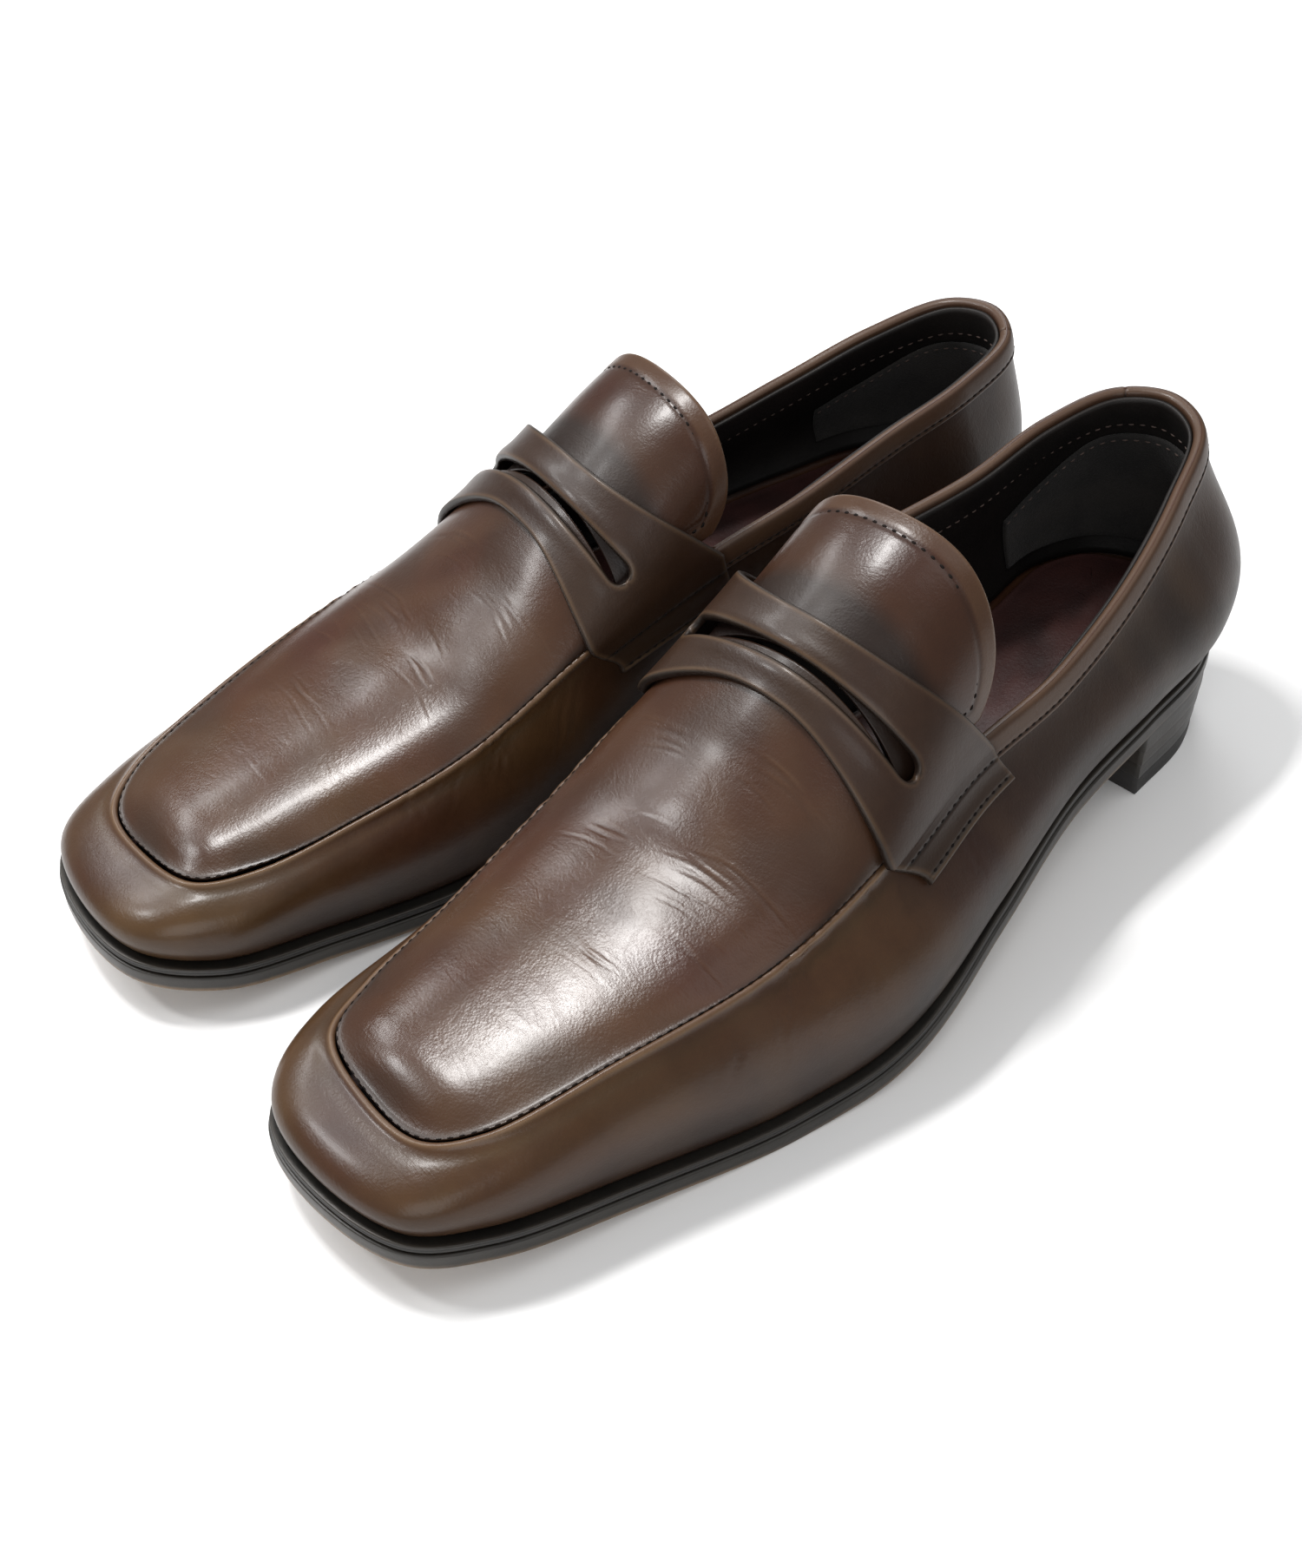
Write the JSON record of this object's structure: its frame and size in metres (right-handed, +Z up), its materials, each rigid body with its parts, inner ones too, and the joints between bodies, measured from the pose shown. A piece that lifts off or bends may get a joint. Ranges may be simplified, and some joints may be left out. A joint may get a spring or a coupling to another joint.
{
  "type": "penny loafer",
  "caption": "Square-toed leather penny loafers with raised moccasin seam, slotted strap, tongue tab, lined topline and stacked heel.",
  "frame": {"origin": "centre of the pair's bounding box, on the floor", "axes": "+Z up, toes towards -Y, +X towards the wearer's left, so the left shoe is at +X"},
  "size_m": [0.2106, 0.3024, 0.1067],
  "materials": {
    "calf": "polished smooth calf, semi gloss",
    "lining": "matt dark lining leather",
    "suede": "napped dark suede",
    "sock": "burgundy brown sock leather",
    "sole": "black stained and waxed leather",
    "stiffener": "impregnated cloth stiffener",
    "board": "insole leather board",
    "cork": "bonded cork filler",
    "steel": "sprung steel",
    "rubber": "black heel rubber"
  },
  "bodies": {
    "left_shoe": {"left_outsole": "sole", "left_welt": "sole", "left_insole": "board", "left_sock_liner": "sock", "left_cork_filler": "cork", "left_shank": "steel", "left_top_lift": "rubber", "left_heel_lift_1": "sole", "left_heel_lift_2": "sole", "left_heel_base": "sole", "left_upper_wall": "calf", "left_vamp_lining": "lining", "left_quarter_lining": "lining", "left_toe_puff": "stiffener", "left_heel_counter": "stiffener", "left_heel_grip": "suede", "left_topline_binding": "calf", "left_apron": "calf", "left_plug_lining": "lining", "left_strap": "calf"},
    "left_tongue_flap": {"left_tongue": "calf", "left_tongue_lining": "lining"},
    "right_shoe": {"right_outsole": "sole", "right_welt": "sole", "right_insole": "board", "right_sock_liner": "sock", "right_cork_filler": "cork", "right_shank": "steel", "right_top_lift": "rubber", "right_heel_lift_1": "sole", "right_heel_lift_2": "sole", "right_heel_base": "sole", "right_upper_wall": "calf", "right_vamp_lining": "lining", "right_quarter_lining": "lining", "right_toe_puff": "stiffener", "right_heel_counter": "stiffener", "right_heel_grip": "suede", "right_topline_binding": "calf", "right_apron": "calf", "right_plug_lining": "lining", "right_strap": "calf"},
    "right_tongue_flap": {"right_tongue": "calf", "right_tongue_lining": "lining"}
  },
  "joints": [
    {"name": "left_shoe_lift", "type": "slide", "parent": "right_shoe", "child": "left_shoe", "axis": [0, 0, 1], "range_m": [0, 0.15]},
    {"name": "left_tongue_flex", "type": "hinge", "parent": "left_shoe", "child": "left_tongue_flap", "pos_m": [0.04911, -0.00623, 0.082], "axis": [0.9956, 0.0936, 0], "range_deg": [-6, 9], "stiffness_Nm_per_rad": 0.2},
    {"name": "right_tongue_flex", "type": "hinge", "parent": "right_shoe", "child": "right_tongue_flap", "pos_m": [-0.04911, -0.00623, 0.082], "axis": [0.9956, -0.0936, 0], "range_deg": [-6, 9], "stiffness_Nm_per_rad": 0.2}
  ]
}
